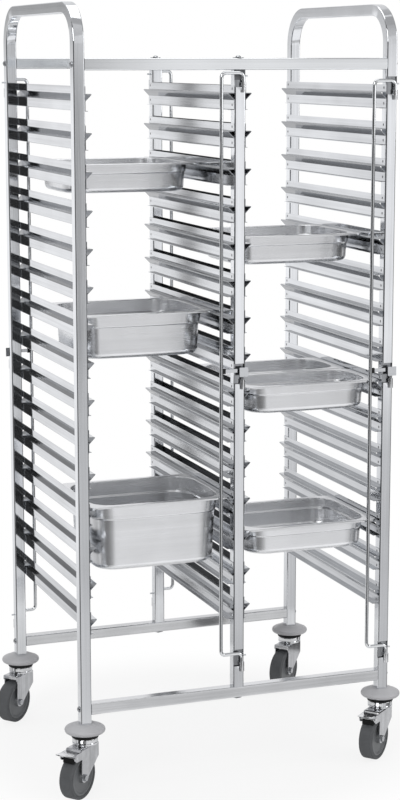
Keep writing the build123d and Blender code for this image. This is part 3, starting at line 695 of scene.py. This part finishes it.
# Bumpers are moulded and softly glossy, the seals are matt rubber that reads as a black line,
# and the plated heads mirror the room in narrow bands
bore = 0.0063
bumper_profile = [(bore, 0.142), (0.037, 0.142), *arc((0.039, 0.148), 0.006, -80, 75, 12),
                  (0.0345, 0.1563), (0.029, 0.1588), (0.0235, 0.1603), (0.0195, 0.1609),
                  (0.018, 0.161), (bore, 0.161)]
seal_profile = [(bore, 0.132), (0.0292, 0.132), *arc((0.0292, 0.1328), 0.0008, -90, 0, 3),
                (0.030, 0.1365), (0.0288, 0.137), (0.030, 0.1375),
                *arc((0.0292, 0.1412), 0.0008, 0, 90, 3), (bore, 0.142)]
head_profile = [(bore, 0.1173), (0.0278, 0.1173), *arc((0.0278, 0.118), 0.0007, -90, 0, 3),
                (0.0285, 0.1205), (0.0255, 0.1205), (0.0255, 0.123), (0.0285, 0.123),
                (0.0285, 0.1295), *arc((0.026, 0.1295), 0.0025, 0, 90, 6), (bore, 0.132)]
bumper_plastic = moulded("pale_grey_polypropylene", "#b0b0b3", "#bfbfc2", 1.0, 0.38, ior=1.49,
                         bump=0.08)
seal_rubber = moulded("black_nitrile_rubber", "#0e0f0f", "#191a1b", 0.8, 0.6, ior=1.52,
                      shine=0.35)
bright_zinc = stainless("bright_zinc_plate", "#e9eaec", 0.10, 1.2, "Z", cloud_mm=25.0, tone=0.08)
four_casters("caster_bumpers", bumper_profile, bumper_plastic, sharp_degrees=40)
four_casters("caster_seals", seal_profile, seal_rubber, sharp_degrees=50)
four_casters("caster_heads", head_profile, bright_zinc)

# Wheels: a grey rubber tyre moulded on a grey nylon hub with a raised lip and a dished side.
# They turn on a bolt through the fork, pressed from plate that is zinc plated and cloudy, and
# whose legs taper down to it. The tyre is matt, and the hub has a faint gloss.
wheel_trail = 0.033
wheel_radius = 0.050
tyre_half = [(0.041, 0.016), (0.0425, 0.016), (0.0428, 0.0156), (0.0445, 0.0156),
             (0.0449, 0.016), (0.0458, 0.016), *arc((0.046, 0.012), 0.004, 88, 8, 8),
             (0.05, 0.0105), (0.05, 0.0006), (0.04985, 0.0003)]
hub_half = [(0.00406, 0.0172), (0.0112, 0.0172), (0.012, 0.0164), (0.0122, 0.0128),
            (0.0135, 0.0116), (0.026, 0.0110), (0.0335, 0.0112), (0.0352, 0.0121),
            (0.0362, 0.0139), (0.0368, 0.0147), (0.038, 0.015), (0.0405, 0.015), (0.041, 0.0146)]
tyre_rubber = moulded("grey_thermoplastic_rubber", "#4c4e50", "#5c5e61", 1.4, 0.55, ior=1.5)
hub_nylon = moulded("grey_moulded_nylon", "#646668", "#727477", 1.2, 0.35, ior=1.53)
dull_zinc = stainless("dull_zinc_plate", "#cccdd0", 0.15, 1.2, "Z", cloud_mm=20.0, tone=0.18)
for corner, (x, y) in corner_names.items():
    under_leg = Matrix.Translation((x * leg_x, y * leg_y, 0))
    to_axle = Matrix.Translation((wheel_trail, 0, wheel_radius))
    on_axle = (under_leg @ Matrix.Rotation(heading, 4, "Z") @ to_axle
               @ Matrix.Rotation(math.pi / 2, 4, "X"))
    for node, half, material in ((corner + "_tyre", tyre_half, tyre_rubber),
                                 (corner + "_hub", hub_half, hub_nylon)):
        mesh = lathe(half + [(r, -h) for r, h in reversed(half)], on_axle, steps=72)
        stand_in(node + "_moulded", finish_edges(mesh, sharp_degrees=45), material, node)
    dress(corner + "_fork", dull_zinc, ease_mm=1.2)
    dress(corner + "_axle", bolt_steel, ease_mm=0.4)

# Brakes: on the front casters a bent steel pedal, zinc plated like the head, rocks on a pin,
# and its block of dull black rubber is pressed on the tyre.
brake_rubber = moulded("black_brake_rubber", "#0a0a0b", "#141515", 1.0, 0.6, ior=1.52,
                       shine=0.25)
for corner in ("front_left", "front_right"):
    dress(corner + "_brake_pedal", bright_zinc, ease_mm=0.5)
    dress(corner + "_brake_block", brake_rubber, ease_mm=0.6)

# Pans: deep drawn from 0.9 mm stainless sheet, with a flat rim turned down at its edge, a
# stacking step below the rim and rounded corners. They lie loose on the shelves.
pan_width = 0.325
half_pan = 0.265
third_pan = 0.176
pan_sheet = 0.0009
rim_wide = 0.0145
rim_corner = 0.020
rim_roll = 0.0016
rim_drop = 0.004
neck_roll = 0.0022
well_corner = 0.045
step_in = 0.0025
draft = 0.045
bottom_round = 0.012
wall_bow = 0.0012
corner_softness = 0.45
wall_parts = 8
rim_above_shelf = 0.0043
bay_x = 0.17875
# Each pan's bay, level, length, depth, the depth of its step, and its front edge
pans = {"left_upper_pan": (-1, 3, half_pan, 0.065, 0.020, -0.085),
        "left_middle_pan": (-1, 7, half_pan, 0.100, 0.027, -0.178),
        "left_lower_pan": (-1, 12, half_pan, 0.150, 0.032, -0.279),
        "right_upper_pan": (1, 5, half_pan, 0.065, 0.020, -0.186),
        "right_middle_front_pan": (1, 9, third_pan, 0.065, 0.020, -0.279),
        "right_middle_rear_pan": (1, 9, third_pan, 0.065, 0.020, -0.098),
        "right_lower_pan": (1, 13, half_pan, 0.065, 0.020, -0.279)}


def soft_corner(reach, steps):
    # A quarter turn that starts and ends gently, from (reach, 0) to (0, reach) of its centre
    parts = [(step + 0.5) / steps for step in range(steps)]
    turns = [math.pi / 2 * t * t * (3 - 2 * t) for t in parts]
    scale = reach / sum(math.sin(turn) for turn in turns)
    points = [(reach, 0.0)]
    for turn in turns:
        x, y = points[-1]
        points.append((x - scale * math.sin(turn), y + scale * math.cos(turn)))
    return points


def pan_ring(length, inset, corner, gentle, steps=14):
    # A rounded rectangle, inset from the rim's edge. The walls, where gentle is 1, have softer
    # corners and bow gently out between them.
    half_x = pan_width / 2 - inset
    half_y = length / 2 - inset
    reach = corner * (1 + corner_softness * gentle)
    turned = soft_corner(reach, steps) if gentle > 0 else arc((0, 0), corner, 0, 90, steps)
    points = []
    for quarter, (sx, sy) in enumerate(((1, 1), (-1, 1), (-1, -1), (1, -1))):
        turn = Matrix.Rotation(math.pi / 2 * quarter, 2)
        for point in turned:
            x, y = turn @ Vector(point)
            points.append((sx * (half_x - reach) + x, sy * (half_y - reach) + y))
        straight = 2 * ((half_x, half_y)[quarter % 2] - reach)
        start = Vector(points[-1])
        way = turn @ Vector((-1, 0))
        out = turn @ Vector((0, 1))
        for part in range(1, wall_parts):
            t = part / wall_parts
            bow = wall_bow * gentle * 4 * t * (1 - t)
            points.append(tuple(start + way * straight * t + out * bow))
    return points


def drawn_pan(length, depth, step_depth, place):
    # Stations down the upper skin: inset from the rim's edge, height below the rim's top
    inner = rim_wide + pan_sheet
    at_step = inner + draft * step_depth
    wall_end = depth - pan_sheet - bottom_round
    end_inset = inner + step_in + draft * wall_end
    line = [(0, -rim_drop), (0, -rim_roll), *arc((rim_roll, -rim_roll), rim_roll, 160, 90, 5),
            (rim_wide * 0.5, 0), *arc((inner - neck_roll, -neck_roll), neck_roll, 90, 10, 7),
            (at_step, -step_depth), (at_step + step_in * 0.15, -step_depth - 0.0010),
            (at_step + step_in * 0.85, -step_depth - 0.0030),
            (at_step + step_in, -step_depth - 0.0042), (end_inset, -wall_end),
            *arc((end_inset + bottom_round, -wall_end), bottom_round, 188, 270, 9)]
    upper = [Vector(point) for point in line]
    under = offset_line(upper, -pan_sheet)
    form = bmesh.new()
    skins = []
    for skin in (upper, under):
        hoops = []
        for inset, height in skin:
            gentle = min(1.0, max(0.0, inset / inner))
            corner = rim_corner + (well_corner - rim_corner) * gentle
            if inset > inner:
                corner = well_corner - (inset - inner) / 2
            hoops.append([form.verts.new((x, y, height))
                          for x, y in pan_ring(length, inset, corner, gentle)])
        skins.append(hoops)
    closed = [(i, (i + 1) % len(skins[0][0])) for i in range(len(skins[0][0]))]
    for hoops in skins:
        for hoop, following in zip(hoops, hoops[1:]):
            for i, j in closed:
                form.faces.new((hoop[i], hoop[j], following[j], following[i]))
        form.faces.new(hoops[-1])
    edge, inner_edge = skins[0][0], skins[1][0]
    for i, j in closed:
        form.faces.new((edge[i], edge[j], inner_edge[j], inner_edge[i]))
    bmesh.ops.remove_doubles(form, verts=form.verts, dist=merge_within)
    bmesh.ops.recalc_face_normals(form, faces=form.faces)
    form.transform(place)
    mesh = bpy.data.meshes.new("drawn_pan")
    form.to_mesh(mesh)
    form.free()
    return finish_edges(mesh, sharp_degrees=50)


# Drawing leaves the sheet satin inside and out, with broad soft lights and dark corners
pan_steel = stainless("satin_drawn_stainless", "#f1f2f4", 0.27, 2.0, "XY", bump=0.0,
                      cloud_mm=60.0, tone=0.06, wear=0.04)
for node, (bay, level, length, depth, step_depth, front) in pans.items():
    rim_top = top_shelf - pitch * (level - 1) + rim_above_shelf
    place = Matrix.Translation((bay * bay_x, front + length / 2, rim_top))
    stand_in(node + "_drawn", drawn_pan(length, depth, step_depth, place), pan_steel, node)
